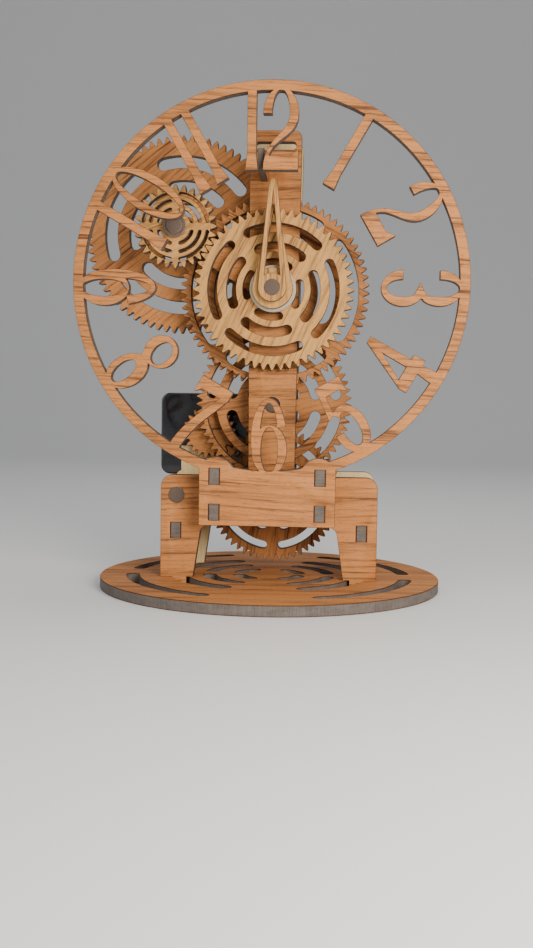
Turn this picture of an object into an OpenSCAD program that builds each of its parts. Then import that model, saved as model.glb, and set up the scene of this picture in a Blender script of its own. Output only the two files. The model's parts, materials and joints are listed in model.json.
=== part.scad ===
// Wooden gear clock kit: laser-cut sheets on dowel arbors, standing in a slotted round base.
// Frame: millimetres, +Z up, the dial faces -Y, +X is to the right as the dial is read.
// The origin is the centre of the base disc's underside.

/* [Sheet and dowel] */
// Thickness of the sheet that the flat pieces are cut from
sheet_t = 6.4; // [5.4:0.1:7.6]
// Thickness of the thinner sheet that the hands are cut from
hand_t = 3.2; // [2.4:0.1:4]
// Diameter of the wooden dowels that serve as arbors
dowel_d = 9.5; // [7.5:0.1:11.5]
// Radial running clearance of a turning piece
run_clear = 0.06; // [0.02:0.01:0.1]
// Gap left on each side of a tenon in its mortise
tenon_gap = 0.1; // [0.05:0.05:0.3]

/* [Base] */
// Diameter of the round base
base_d = 208; // [173:1:250]
// Width of the plain rim outside the outermost slots
base_rim_w = 16; // [12:1:20]
// Width of the ornamental slots in the base
base_slot_w = 8; // [5:0.5:9]
// Inner radius of the slot ring that the front legs stand in
leg_slot_r = 50.6; // [48:0.2:53]
// Width of the slot ring that the front legs stand in
leg_slot_w = 10.4; // [9:0.2:11]
// Inner radius of the third slot ring
third_slot_r = 33; // [30:0.5:36]
// Inner radius of the innermost slot ring
inner_slot_r = 15; // [12:0.5:18]
// Angle from the front or back line to the end of a slot
base_spoke_wide = 20; // [14:1:26]
// Angle from the left or right line to the end of a slot
base_spoke_narrow = 6; // [4:1:10]

/* [Stand] */
// Width of the stand across both legs
stand_w = 131; // [125:1:140]
// Height of the stand above the base disc
stand_h = 62.2; // [58:0.2:66]
// Height of the arch between the legs above the base disc
arch_h = 31.6; // [28:0.2:34]
// Width of the arch at its top
arch_w_top = 83; // [78:1:88]
// Width of the arch at the base disc
arch_w_low = 91; // [86:1:96]
// Radius of the stand's upper corners
stand_corner_r = 7; // [3:0.5:10]
// Radius of the arch's upper corners
arch_corner_r = 5; // [2:0.5:8]
// Clear depth between the front stand plate and the column
stand_gap = 18.6; // [12:0.2:22]
// Distance from the middle plane to a leg rail's centre
leg_rail_x = 56.2; // [53:0.2:58]
// Height of the leg rails
leg_rail_h = 18; // [14:1:22]
// Height of a leg rail's underside above the base disc
leg_rail_z = 19.4; // [16:0.2:24]
// Height of the peg in the left leg above the base disc
peg_h = 49.9; // [48:0.1:54]
// Distance of the peg from the middle plane
peg_x = 55.9; // [54:0.1:58]

/* [Dial] */
// Outer diameter of the dial ring
dial_d = 230; // [190:1:276]
// Width of the dial ring
dial_ring_w = 6; // [5:0.5:8]
// Height of a numeral, from the dial ring to its free end
numeral_h = 45; // [38:0.5:46]
// Clear depth between the dial plate and the front stand plate
dial_gap = 12.6; // [8:0.2:16]
// Width of the bracket below the dial ring
bracket_w = 80; // [76:1:86]
// Height of the bracket's lower edge above the base disc
bracket_z = 33.9; // [30:0.2:36]
// Height of the bracket's upper edge above the base disc
bracket_top = 65.9; // [62:0.2:68]
// Radius of the round shoulders on the bracket
shoulder_r = 11; // [9:0.5:13]
// Distance from the middle plane to a dial rail's centre
dial_rail_x = 31; // [28:0.2:33]
// Height of one tenon end
tenon_h = 9.5; // [7:0.5:10]
// Height of the lower dial rail tenons above the base disc
low_tenon_z = 37; // [35:0.2:39]
// Height of the upper dial rail tenons above the base disc
high_tenon_z = 58.1; // [56:0.1:60]

/* [Column] */
// Width of the column at its top
column_w_top = 32; // [28:1:36]
// Width of the column above its foot
column_w_low = 29; // [26:1:33]
// Height of the column's top above the hand axis
column_top = 97.6; // [92:0.2:104]
// Width of the column's foot
foot_w = 76; // [72:1:80]
// Height of the foot's upper edge above the base disc
foot_top = 64; // [60:0.5:66]
// Width of the hanging slot near the column's top
hang_slot_w = 25; // [18:1:26]
// Height of the hanging slot
hang_slot_h = 4.8; // [4:0.2:6]
// Depth of the hanging slot's centre below the column's top
hang_slot_drop = 9.4; // [8:0.2:11]
// Depth of the top spacer's centre below the column's top
top_spacer_drop = 19.8; // [18:0.2:22]
// Width of the top spacer
top_spacer_w = 14; // [10:1:15]
// Thickness of the stay that steadies the top of the dial
stay_w = 3.8; // [3:0.1:5]
// Height of the stay
stay_h = 11.5; // [9:0.5:12]
// Distance of the stay's centre to the left of the middle plane
stay_x = 6.5; // [6:0.1:7]
// Width of the arm that carries the motion arbor
arm_w = 17; // [15:1:22]

/* [Wheels] */
// Depth of the free space between neighbouring wheel layers
layer_gap = 2; // [1.5:0.1:2.6]
// Pressure angle of the teeth
pressure_angle = 25; // [22:1:27]
// Amount that each tooth is thinned, for backlash
tooth_play = 0.16; // [0.1:0.02:0.3]
// Tooth module of the hour and motion wheels
motion_module = 1.7; // [1.6:0.02:1.76]
// Teeth of the hour wheel
hour_teeth = 56; // [56]
// Teeth of the small motion wheel that drives the hour wheel
small_motion_teeth = 28; // [28]
// Teeth of the large motion wheel
motion_teeth = 72; // [72]
// Teeth of the pinion on the minute arbor
cannon_teeth = 12; // [12]
// Direction from the minute arbor to the motion arbor
motion_angle = 148; // [144:1:152]
// Tooth module of the minute and lower wheels
train_module = 1.6; // [1.5:0.02:1.64]
// Teeth of the minute wheel
minute_teeth = 72; // [72]
// Teeth of the pinion on the lower arbor
lower_pinion_teeth = 16; // [16]
// Teeth of the lower wheel
lower_teeth = 60; // [60]
// Teeth of the pinion on the bottom arbor
bottom_pinion_teeth = 12; // [12]
// Tooth module of the bottom wheel
bottom_module = 1.5; // [1.4:0.02:1.56]
// Teeth of the bottom wheel
bottom_teeth = 56; // [56]
// Teeth of the motor's pinion
motor_pinion_teeth = 21; // [21]
// Direction from the bottom arbor to the motor
motor_angle = 137; // [132:1:140]
// Height of the bottom arbor above the base disc
bottom_axis_h = 47.4; // [46.6:0.2:49]
// Diameter of the spacers on the arbors
spacer_d = 16; // [13:0.5:17]
// Thickness of the collars behind the rear plate
collar_t = 5; // [4:0.5:7]
// Depth of the two lowest arbors' ends below the column's front face
arbor_recess = 2; // [0:0.5:3]

/* [Hands] */
// Length of the minute hand from its axis
minute_hand_l = 64.3; // [56:0.1:66]
// Radius of the minute hand's eye
minute_eye_r = 8.5; // [7.5:0.1:9.5]
// Length of the hour hand from its axis
hour_hand_l = 50; // [40:0.5:54]
// Radius of the hour hand's eye
hour_eye_r = 12.3; // [11:0.1:13]
// Width of a hand's limbs
limb_w = 2.9; // [2.2:0.1:3.6]
// Width of the blunt tip of a hand
hand_tip_w = 5; // [4:0.2:7]
// Thickness of the disc between the hour hand and the hour wheel
hour_spacer_t = 5.4; // [4:0.2:6.4]
// Diameter of the disc between the hour hand and the hour wheel
hour_spacer_d = 28; // [27:0.5:30]
// Wall thickness of the sleeve that carries the hour hand
sleeve_wall = 2.2; // [1.6:0.1:2.4]
// Free space between the two hands
hand_gap = 1.6; // [1:0.1:2.4]

/* [Motor] */
// Width of the motor housing
housing_w = 64; // [60:1:66]
// Height of the motor housing
housing_h = 54; // [50:0.5:56]
// Depth of the motor housing
housing_d = 24; // [22:0.5:28]
// Corner radius of the motor housing
housing_r = 6; // [3:0.5:8]
// Wall thickness of the motor housing
housing_wall = 2; // [1.5:0.1:2.2]
// Thickness of the housing's rear cover
cover_t = 2.4; // [2:0.1:3]
// Distance from the middle plane to the housing's near side
housing_x = 12; // [11:0.5:14]
// Height of the housing's underside above the base disc
housing_z = 58.2; // [56.5:0.1:60]
// Diameter of the geared motor
motor_d = 24; // [20:0.5:24.5]
// Diameter of the motor's steel shaft
motor_shaft_d = 5; // [4:0.1:6]
// Diameter of the battery cell
cell_d = 10.5; // [10.5]
// Length of the battery cell
cell_l = 44.5; // [44.5]
// Height of the rear plate's ear above its crossbar
ear_rise = 15.4; // [12:0.2:17]
// Diameter of the motor's fixing screws
screw_d = 3; // [2.5:0.1:3.5]

/* [Hidden] */
$fn = 64;
eps = 0.01;
base_r = base_d / 2;
base_top = sheet_t;
dowel_r = dowel_d / 2;
hole_r = dowel_r + run_clear;
half_sheet = sheet_t / 2;

// Centre distances of the meshing pairs
motion_reach = motion_module * (hour_teeth + small_motion_teeth) / 2;
minute_reach = train_module * (minute_teeth + lower_pinion_teeth) / 2;
lower_reach = train_module * (lower_teeth + bottom_pinion_teeth) / 2;
motor_reach = bottom_module * (bottom_teeth + motor_pinion_teeth) / 2;

// Arbor places in the front view, as [x, z]
bottom_axis = [0, base_top + bottom_axis_h];
lower_axis = bottom_axis + [0, lower_reach];
hand_axis = lower_axis + [0, minute_reach];
motion_axis = hand_axis + motion_reach * [cos(motion_angle), sin(motion_angle)];
motor_axis = bottom_axis + motor_reach * [cos(motor_angle), sin(motor_angle)];
axis_z = hand_axis[1];

// Depths of the layers, front face of each
column_y = 7;
pitch_y = sheet_t + layer_gap;
minute_y = column_y + pitch_y;
lower_y = minute_y + pitch_y;
back_y = lower_y + pitch_y;
rear_y = back_y + pitch_y;
rear_back = rear_y + sheet_t;
hour_y = column_y - pitch_y;
spacer_y = hour_y - hour_spacer_t;
hour_hand_y = spacer_y - hand_t;
minute_hand_y = hour_hand_y - hand_gap - hand_t;
stand_y = column_y - stand_gap - sheet_t;
dial_y = stand_y - dial_gap - sheet_t;
collar_y = rear_back + 0.2;
arbor_end = collar_y + collar_t + 0.8;
column_back = column_y + sheet_t;
washer_gap = 0.2;

// Tenons of the legs in the base
front_tenon = [sqrt(pow(leg_slot_r, 2) - pow(stand_y + sheet_t, 2)) + tenon_gap,
               sqrt(pow(leg_slot_r + leg_slot_w, 2) - pow(stand_y, 2)) - tenon_gap];
rear_tenon = [49.5, 58.5];
tenon_lift = 0.4;

// Rail tenons and rests
rail_z0 = base_top + low_tenon_z;
rail_z1 = base_top + high_tenon_z + tenon_h;
rail_half_z = base_top + (low_tenon_z + stand_h) / 2 + 2;
foot_tenon_z = base_top + foot_top - tenon_h - 3;
leg_tenon_z = base_top + leg_rail_z + (leg_rail_h - tenon_h) / 2;

sleeve_bore_r = dowel_r + run_clear;
sleeve_r = sleeve_bore_r + sleeve_wall;
top_z = axis_z + column_top;
spacer_z = top_z - top_spacer_drop;
ring_in = dial_d / 2 - dial_ring_w;
stay_z = axis_z + minute_hand_l + 2.2;
// The stay's front end reaches up behind the numeral wherever the dial puts it
stay_top = max(stay_z + stay_h, axis_z + ring_in - numeral_h + stay_h / 2);
stay_tenon = [stay_z + 1, min(stay_z + stay_h - 2, spacer_z - half_sheet - 1)];
ear_z = base_top + stand_h + ear_rise;
housing_x0 = -housing_x - housing_w;
housing_z0 = base_top + housing_z;
housing_mid = [-housing_x - housing_w / 2, housing_z0 + housing_h / 2];
shaft_hole_d = motor_shaft_d + 2;
screw_inset = 13;
screw_z = ear_z - 4;
screw_l = 9;
motor_l = 18;
cell_z = motor_axis[1] + motor_d / 2 + 0.8 + cell_d / 2;

walnut = "#c89a72";
blond = "#e8c893";
oak = "#a58a72";
black = "#18181a";
ivory = "#ece4d0";
steel = "#b8b8bc";

// ---------- placing flat pieces and rods ----------

// A flat piece drawn in the front view, front face at y0
module front_sheet(y0, t = sheet_t) {
  translate([0, y0 + t, 0])
    rotate([90, 0, 0])
      linear_extrude(t)
        children();
}

// A flat piece drawn in the side view (y to the right, z up), left face at x0
module side_sheet(x0, t = sheet_t) {
  translate([x0, 0, 0])
    rotate([90, 0, 90])
      linear_extrude(t)
        children();
}

// A rod along Y between y0 and y1 at the place p = [x, z]
module rod(p, y0, y1, d) {
  translate([p[0], y1, p[1]])
    rotate([90, 0, 0])
      cylinder(h = y1 - y0, d = d);
}

// A disc with a hole, between y0 and y1
module ring(p, y0, y1, outer_d, inner_d) {
  difference() {
    rod(p, y0, y1, outer_d);
    rod(p, y0 - 1, y1 + 1, inner_d);
  }
}

// A rectangle from corner a to corner b
module box2(a, b) {
  translate(a)
    square(b - a);
}

// ---------- outlines by formula ----------

// Points on an ellipse from angle a0 to a1
function arc(c, rx, ry, a0, a1, n) =
  [for (i = [0:n]) let (a = a0 + (a1 - a0) * i / n) c + [rx * cos(a), ry * sin(a)]];

// Points on a cubic curve with four controls
function curve(p, q, r, s, n) =
  [for (i = [0:n]) let (t = i / n, u = 1 - t)
    u * u * u * p + 3 * u * u * t * q + 3 * u * t * t * r + t * t * t * s];

function flip(v) = [for (i = [len(v) - 1:-1:0]) v[i]];

// A polygon drawn counter-clockwise, whichever way round its points are listed
module outline(points) {
  n = len(points);
  turns = [for (i = [0:n - 1]) cross(points[i], points[(i + 1) % n])] * [for (p = points) 1];
  polygon(turns > 0 ? points : flip(points));
}

// A rectangle with rounded corners, centred on c
module round_box(c, w, h, r) {
  outline(concat(
    arc(c + [w / 2 - r, h / 2 - r], r, r, 0, 90, 8),
    arc(c + [r - w / 2, h / 2 - r], r, r, 90, 180, 8),
    arc(c + [r - w / 2, r - h / 2], r, r, 180, 270, 8),
    arc(c + [w / 2 - r, r - h / 2], r, r, 270, 360, 8)));
}

// A slot along an arc between radii r0 and r1, with rounded ends, from angle a0 to a1
module arc_slot(r0, r1, a0, a1) {
  cap = (r1 - r0) / 2;
  mid = (r0 + r1) / 2;
  turn = asin(cap / mid);
  b0 = a0 + turn;
  b1 = a1 - turn;
  n = max(3, ceil((b1 - b0) / 5));
  outline(concat(
    arc([0, 0], r1, r1, b0, b1, n),
    [for (i = [1:5]) let (a = b1 + i * 30) mid * [cos(b1), sin(b1)] + cap * [cos(a), sin(a)]],
    arc([0, 0], r0, r0, b1, b0, n),
    [for (i = [1:5]) let (a = b0 + 180 + i * 30)
      mid * [cos(b0), sin(b0)] + cap * [cos(a), sin(a)]]));
}

// Four slots between spokes of a constant width, the first spoke at angle turn
module slot_ring(r0, r1, spoke_w, turn) {
  lean = asin(spoke_w / (r0 + r1));
  for (k = [0:3])
    arc_slot(r0, r1, turn + 90 * k + lean, turn + 90 * (k + 1) - lean);
}

// ---------- teeth ----------

function involute(r, rb) = r <= rb ? 0 : let (a = acos(rb / r)) tan(a) * 180 / PI - a;

// Half of a tooth's angle at radius r
function half_tooth(n, m, r) =
  let (rp = n * m / 2, rb = rp * cos(pressure_angle))
    90 / n - tooth_play / 2 / rp * 180 / PI + involute(rp, rb) - involute(r, rb);

// The outline of one tooth, its middle at angle a
function tooth(n, m, a, steps) =
  let (rp = n * m / 2,
       root = rp - 1.25 * m,
       start = max(root, rp * cos(pressure_angle)),
       side = concat(root < start ? [[root, half_tooth(n, m, start)]] : [],
                     [for (i = [0:steps]) let (r = start + (rp + m - start) * i / steps)
                       [r, half_tooth(n, m, r)]]))
    concat([for (p = side) p[0] * [cos(a - p[1]), sin(a - p[1])]],
           [for (p = flip(side)) p[0] * [cos(a + p[1]), sin(a + p[1])]]);

// A toothed disc, the middle of one tooth at angle turn
module toothed(n, m, turn, steps) {
  outline([for (i = [0:n - 1]) each tooth(n, m, turn + 360 * i / n, steps)]);
}

// Tooth angle of a gear that meshes with another one in direction aim
function meshed(n_a, turn_a, aim, n_b) = aim + 180 + 180 / n_b - (turn_a - aim) * n_a / n_b;

minute_turn = 90;
lower_pinion_turn = meshed(minute_teeth, minute_turn, 270, lower_pinion_teeth);
lower_turn = 90;
bottom_pinion_turn = meshed(lower_teeth, lower_turn, 270, bottom_pinion_teeth);
bottom_turn = 270;
motor_turn = meshed(bottom_teeth, bottom_turn, motor_angle, motor_pinion_teeth);
hour_turn = 90;
small_motion_turn = meshed(hour_teeth, hour_turn, motion_angle, small_motion_teeth);
motion_turn = 90;
cannon_turn = meshed(motion_teeth, motion_turn, motion_angle + 180, cannon_teeth);

// A toothed wheel with three or fewer rings of slots, each given as [inner, outer] radius
module wheel(p, y0, n, m, turn, bore_d, rings, spoke_w, spoke_turn) {
  front_sheet(y0)
    translate(p)
      difference() {
        toothed(n, m, turn, 2);
        circle(d = bore_d);
        for (r = rings)
          slot_ring(r[0], r[1], spoke_w, spoke_turn);
      }
}

// A small pinion without slots
module pinion(p, y0, n, m, turn, bore_d) {
  front_sheet(y0)
    translate(p)
      difference() {
        toothed(n, m, turn, 4);
        circle(d = bore_d);
      }
}

// ---------- base and stand ----------

module base_disc() {
  rings = [[base_r - base_rim_w - base_slot_w, base_r - base_rim_w],
           [leg_slot_r, leg_slot_r + leg_slot_w],
           [third_slot_r, third_slot_r + base_slot_w],
           [inner_slot_r, inner_slot_r + base_slot_w]];
  color(walnut)
    linear_extrude(sheet_t)
      difference() {
        circle(r = base_r, $fn = 180);
        for (r = rings, q = [0, 180]) {
          arc_slot(r[0], r[1], q + base_spoke_narrow, q + 90 - base_spoke_wide);
          arc_slot(r[0], r[1], q + 90 + base_spoke_wide, q + 180 - base_spoke_narrow);
        }
        for (s = [-1, 1])
          translate([s * (rear_tenon[0] + rear_tenon[1]) / 2, rear_y + half_sheet])
            square([rear_tenon[1] - rear_tenon[0] + 2 * tenon_gap, sheet_t + 2 * tenon_gap],
                   center = true);
      }
}

// The outline shared by both stand plates: a table with two legs
module stand_outline() {
  top = base_top + stand_h;
  arch = base_top + arch_h;
  w = stand_w / 2;
  r = stand_corner_r;
  a = arch_corner_r;
  outline(concat(
    arc([w - r, top - r], r, r, 0, 90, 8),
    arc([r - w, top - r], r, r, 90, 180, 8),
    [[-w, base_top], [-arch_w_low / 2, base_top]],
    arc([a - arch_w_top / 2, arch - a], a, a, 180, 90, 6),
    arc([arch_w_top / 2 - a, arch - a], a, a, 90, 0, 6),
    [[arch_w_low / 2, base_top], [w, base_top]]));
}

module leg_tenons(x) {
  for (s = [-1, 1])
    box2([min(s * x[0], s * x[1]), tenon_lift], [max(s * x[0], s * x[1]), base_top + 1]);
}

module leg_mortises() {
  for (s = [-1, 1])
    box2([s * leg_rail_x - half_sheet - tenon_gap, leg_tenon_z - tenon_gap],
         [s * leg_rail_x + half_sheet + tenon_gap, leg_tenon_z + tenon_h + tenon_gap]);
}

module stand_front() {
  color(walnut)
    front_sheet(stand_y)
      difference() {
        union() {
          stand_outline();
          leg_tenons(front_tenon);
        }
        leg_mortises();
        translate([-peg_x, base_top + peg_h])
          circle(r = dowel_r);
        for (s = [-1, 1])
          box2([s * dial_rail_x - half_sheet - tenon_gap, rail_half_z],
               [s * dial_rail_x + half_sheet + tenon_gap, base_top + stand_h + 1]);
      }
}

// The column's shape above its foot
module column_outline() {
  r = 5;
  w = column_w_top / 2;
  outline(concat(
    arc([w - r, top_z - r], r, r, 0, 90, 6),
    arc([r - w, top_z - r], r, r, 90, 180, 6),
    [[-column_w_low / 2, base_top + foot_top - 1], [column_w_low / 2, base_top + foot_top - 1]]));
}

// The arm from the column to the motion arbor
module motion_arm() {
  end = motion_axis;
  aim = [cos(motion_angle), sin(motion_angle)];
  side = arm_w / 2 * [-aim[1], aim[0]];
  outline([hand_axis + side, end + side, end - side, hand_axis - side]);
  translate(end)
    circle(d = arm_w);
}

module arbor_holes() {
  for (p = [hand_axis, motion_axis, lower_axis, bottom_axis])
    translate(p)
      circle(r = hole_r);
}

module column_holes() {
  translate([0, top_z - hang_slot_drop])
    round_box([0, 0], hang_slot_w, hang_slot_h, hang_slot_h / 2 - 0.2);
  translate([0, spacer_z])
    square([top_spacer_w - 4 + 2 * tenon_gap, sheet_t + 2 * tenon_gap], center = true);
  arbor_holes();
}

module column_front() {
  color(walnut)
    front_sheet(column_y)
      difference() {
        union() {
          column_outline();
          motion_arm();
          box2([-foot_w / 2, base_top + bracket_z], [foot_w / 2, base_top + foot_top]);
        }
        column_holes();
        for (s = [-1, 1], z = [rail_z0, foot_tenon_z])
          box2([s * dial_rail_x - half_sheet - tenon_gap, z - tenon_gap],
               [s * dial_rail_x + half_sheet + tenon_gap, z + tenon_h + tenon_gap]);
        box2([-stay_x - stay_w / 2 - tenon_gap, stay_tenon[0] - tenon_gap],
             [-stay_x + stay_w / 2 + tenon_gap, stay_tenon[1] + tenon_gap]);
      }
}

module rear_frame() {
  color(walnut)
    front_sheet(rear_y)
      difference() {
        union() {
          stand_outline();
          leg_tenons(rear_tenon);
          column_outline();
          motion_arm();
          box2([-stand_w / 2 + 4, base_top + stand_h - stand_corner_r], [-10, ear_z]);
        }
        column_holes();
        leg_mortises();
        translate([-peg_x, base_top + peg_h])
          circle(r = dowel_r);
        for (x = [housing_x0 + screw_inset, -housing_x - screw_inset])
          translate([x, screw_z])
            circle(d = screw_d);
        // Room for the motor shaft where a tall stand brings the ear up to it
        translate(motor_axis)
          circle(d = shaft_hole_d);
      }
}

// A rail between the two stand plates, its tenons flush with their outer faces
module leg_rail(s) {
  color(walnut)
    side_sheet(s * leg_rail_x - half_sheet) {
      box2([stand_y + sheet_t, base_top + leg_rail_z],
           [rear_y, base_top + leg_rail_z + leg_rail_h]);
      box2([stand_y, leg_tenon_z], [rear_back, leg_tenon_z + tenon_h]);
    }
}

module leg_rail_left() {
  leg_rail(-1);
}

module leg_rail_right() {
  leg_rail(1);
}

// A rail that carries the dial and the column on the front stand plate
module dial_rail(s) {
  color(walnut)
    side_sheet(s * dial_rail_x - half_sheet)
      difference() {
        union() {
          box2([dial_y + sheet_t, rail_z0], [column_y, rail_z1]);
          for (z = [rail_z0, rail_z1 - tenon_h])
            box2([dial_y, z], [dial_y + sheet_t + 1, z + tenon_h]);
          for (z = [rail_z0, foot_tenon_z])
            box2([column_y - 1, z], [column_back, z + tenon_h]);
        }
        box2([stand_y - tenon_gap, rail_z0 - 1],
             [stand_y + sheet_t + tenon_gap, rail_half_z + tenon_gap]);
      }
}

module dial_rail_left() {
  dial_rail(-1);
}

module dial_rail_right() {
  dial_rail(1);
}

module top_spacer() {
  w = top_spacer_w / 2;
  color(walnut)
    translate([0, 0, spacer_z - half_sheet])
      linear_extrude(sheet_t) {
        box2([-w, column_back], [w, rear_y]);
        box2([2 - w, column_y], [w - 2, rear_back]);
      }
}

module dial_stay() {
  color(walnut)
    side_sheet(-stay_x - stay_w / 2, stay_w) {
      box2([dial_y + sheet_t, stay_z], [column_y, stay_top]);
      box2([column_y - 1, stay_tenon[0]], [column_back, stay_tenon[1]]);
    }
}

module leg_peg() {
  color(oak)
    rod([-peg_x, base_top + peg_h], stand_y, rear_back, dowel_d);
}

// ---------- dial ----------

glyph_k = numeral_h / 45;
// Glyphs are drawn 45 units high and about 20 wide, with their foot on y = 0.
glyph_h = 45;
stroke = 5.3;
over = 2.5;

// A curved stroke between an outer ellipse and an inner ellipse
module band(c, rx, ry, ix, iy, a0, a1, shift = [0, 0]) {
  n = max(6, ceil(abs(a1 - a0) / 9));
  outline(concat(arc(c, rx, ry, a0, a1, n), arc(c + shift, ix, iy, a1, a0, n)));
}

// A closed loop between two ellipses
module loop(c, rx, ry, ix, iy, shift = [0, 0]) {
  difference() {
    outline(arc(c, rx, ry, 0, 350, 35));
    outline(arc(c + shift, ix, iy, 0, 350, 35));
  }
}

module glyph_one(x = 0) {
  w = stroke / 2;
  outline([[x - w - 1.2, 0], [x + w + 1.2, 0], [x + w, 9], [x + w, glyph_h + over],
           [x - w, glyph_h + over], [x - w, 9]]);
}

module glyph_two() {
  band([0, 32], 10.3, 14.6, 5, 13.4, 0, 180);
  outline(concat(
    curve([10.3, 32], [10.3, 19], [-4.5, 18], [-6.6, 8], 10),
    [[-6.6, 0], [-10.2, 0]],
    curve([-10.2, 0], [-10.2, 19], [5, 20], [5, 32], 12)));
  box2([-8, 0], [10.2, 8.2]);
  outline([[5.5, 8], [9.6, 11.6], [10.2, 11.6], [10.2, 8]]);
}

module glyph_three() {
  band([0, 33.6], 10.2, 13, 5, 11.2, -48, 180);
  band([0, 12.7], 10.4, 12.7, 5, 9.4, -180, 50);
  // The point between the two bowls reaches into both of them
  outline([[-3.1, 22.6], [3.9, 18.9], [7.6, 21.2], [6.3, 22.5], [5.9, 23.2], [6.4, 24],
           [7.3, 25], [3.8, 26]]);
}

module glyph_four() {
  // Stem, then the slanting stroke, then the bar and the wide foot
  outline([[-1.4, 9], [3.9, 9], [3.4, 43.2], [-0.9, 43.2], [-1.4, 36]]);
  outline([[-14.2, 9.2], [-14.2, 13.4], [-0.9, 43.2], [0.8, 36.5], [-10, 16.4]]);
  outline([[-14.2, 9], [7.4, 8.8], [6.9, 16], [4.1, 16.4], [-12, 16.4], [-14.2, 13.4]]);
  outline([[-1.5, 9.5], [-2.6, -over], [5.3, -over], [3.9, 9.5]]);
}

module glyph_five() {
  box2([-7.4, 35.6], [7, 42.8]);
  outline([[4.6, 36], [8.8, 32.9], [8.6, 42.8], [6, 42.8]]);
  outline([[-7.4, 37], [-3.6, 37], [-4.6, 24.5], [-8.8, 21.9]]);
  band([0.4, 12.6], 10, 14.9, 4.8, 10.6, -180, 128);
}

module glyph_six() {
  // Closed bowl at the foot, and a long tail over it that ends in a blunt tip
  loop([1, 12.3], 10.4, 14.8, 5, 13.4);
  band([0.6, 19], 10.4, 23.6, 5.2, 20.6, 18, 208);
  outline([[5.1, 25.4], [10.5, 26.2], [8.2, 31.2], [5.2, 30.6]]);
}

module glyph_seven() {
  box2([-6.3, 36.6], [14.2, 43.7]);
  outline([[-6.3, 43.7], [-6.3, 33.2], [-5.6, 33.2], [-2.4, 37]]);
  outline(concat(
    curve([14.2, 38], [10, 25], [3.4, 17], [3, -over], 10),
    curve([-3.2, -over], [-3.4, 12], [4, 26], [9.4, 37.5], 10)));
}

// A leaning oval hole
module oval(c, rx, ry, lean) {
  translate(c)
    rotate(lean)
      outline(arc([0, 0], rx, ry, 0, 348, 29));
}

module glyph_eight() {
  difference() {
    union() {
      outline(arc([3.4, 34.2], 9.6, 10.2, 0, 350, 35));
      outline(arc([3.1, 11.2], 9.2, 13.4, 0, 350, 35));
      // The heavy stroke that crosses between the two loops
      outline([[-4.1, 28.2], [6, 13], [11.2, 17], [1, 30]]);
    }
    oval([4.5, 34.1], 5, 7.6, 14);
    oval([2.2, 9.6], 4.4, 8.8, 9);
  }
}

module glyph_zero() {
  loop([0, 23.4], 10.6, 23.6, 6.1, 21.4);
}

// A numeral whose top points outwards, at the given hour
module outward(hour) {
  rotate(-30 * hour)
    translate([0, ring_in - glyph_h * glyph_k])
      scale([glyph_k, glyph_k])
        children();
}

// A numeral whose foot stands on the ring, at the given hour
module inward(hour) {
  rotate(180 - 30 * hour)
    translate([0, -ring_in])
      scale([glyph_k, glyph_k])
        children();
}

module numerals() {
  outward(12) {
    glyph_one(-11.5);
    translate([5.1, 0])
      glyph_two();
  }
  outward(1)
    glyph_one(0.9);
  outward(2)
    translate([2.1, 0])
      glyph_two();
  outward(3)
    translate([2.4, 0])
      glyph_three();
  inward(4)
    glyph_four();
  inward(5)
    glyph_five();
  inward(6)
    glyph_six();
  inward(7)
    glyph_seven();
  inward(8)
    glyph_eight();
  outward(9)
    translate([-2.4, glyph_h])
      rotate(180)
        glyph_six();
  outward(10) {
    glyph_one(-12.2);
    translate([8.5, 0])
      glyph_zero();
  }
  outward(11) {
    glyph_one(-6.6);
    glyph_one(4.8);
  }
}

module bracket_outline() {
  w = bracket_w / 2;
  low = base_top + bracket_z;
  mid = base_top + bracket_top;
  // The sides run up to the middle of the ring, wherever it passes
  side = axis_z - sqrt(pow(dial_d / 2 - dial_ring_w / 2, 2) - pow(w, 2));
  dip = w - 2 * shoulder_r;
  outline(concat(
    [[-w, low], [w, low], [w, side]],
    arc([dial_rail_x - 1, mid - 3], shoulder_r, shoulder_r + 0.5, 40, 150, 8),
    curve([dip - 2, mid + 1], [dip - 9, mid - 1], [9 - dip, mid - 1], [2 - dip, mid + 1], 8),
    arc([1 - dial_rail_x, mid - 3], shoulder_r, shoulder_r + 0.5, 30, 140, 8),
    [[-w, side]]));
}

module dial_plate() {
  color(walnut)
    front_sheet(dial_y)
      difference() {
        union() {
          translate(hand_axis) {
            difference() {
              circle(d = dial_d, $fn = 180);
              circle(r = ring_in, $fn = 180);
            }
            numerals();
          }
          bracket_outline();
        }
        for (s = [-1, 1], z = [rail_z0, rail_z1 - tenon_h])
          box2([s * dial_rail_x - half_sheet - tenon_gap, z - tenon_gap],
               [s * dial_rail_x + half_sheet + tenon_gap, z + tenon_h + tenon_gap]);
      }
}

// ---------- hands ----------

// A hand with an eye, two limbs that meet at a blunt tip, and a long opening between them
module hand_outline(l, eye, bore) {
  tip = hand_tip_w / 2;
  edge = limb_w * sqrt(1 + pow((eye - tip) / (l - tip), 2));
  difference() {
    union() {
      circle(r = eye);
      difference() {
        outline(concat([[-eye, 0]], arc([0, l - tip], tip, tip, 180, 0, 8), [[eye, 0]]));
        outline([[edge - eye, 0], [0, (eye - edge) * (l - tip) / (eye - tip)], [eye - edge, 0]]);
      }
    }
    circle(r = bore);
  }
}

module minute_hand() {
  color(blond)
    front_sheet(minute_hand_y, hand_t)
      translate(hand_axis)
        hand_outline(minute_hand_l, minute_eye_r, dowel_r);
}

module hour_hand() {
  color(blond)
    front_sheet(hour_hand_y, hand_t)
      translate(hand_axis)
        hand_outline(hour_hand_l, hour_eye_r, sleeve_r);
}

// ---------- minute arbor ----------

module minute_arbor() {
  color(oak)
    rod(hand_axis, minute_hand_y - 0.2, arbor_end, dowel_d);
}

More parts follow.
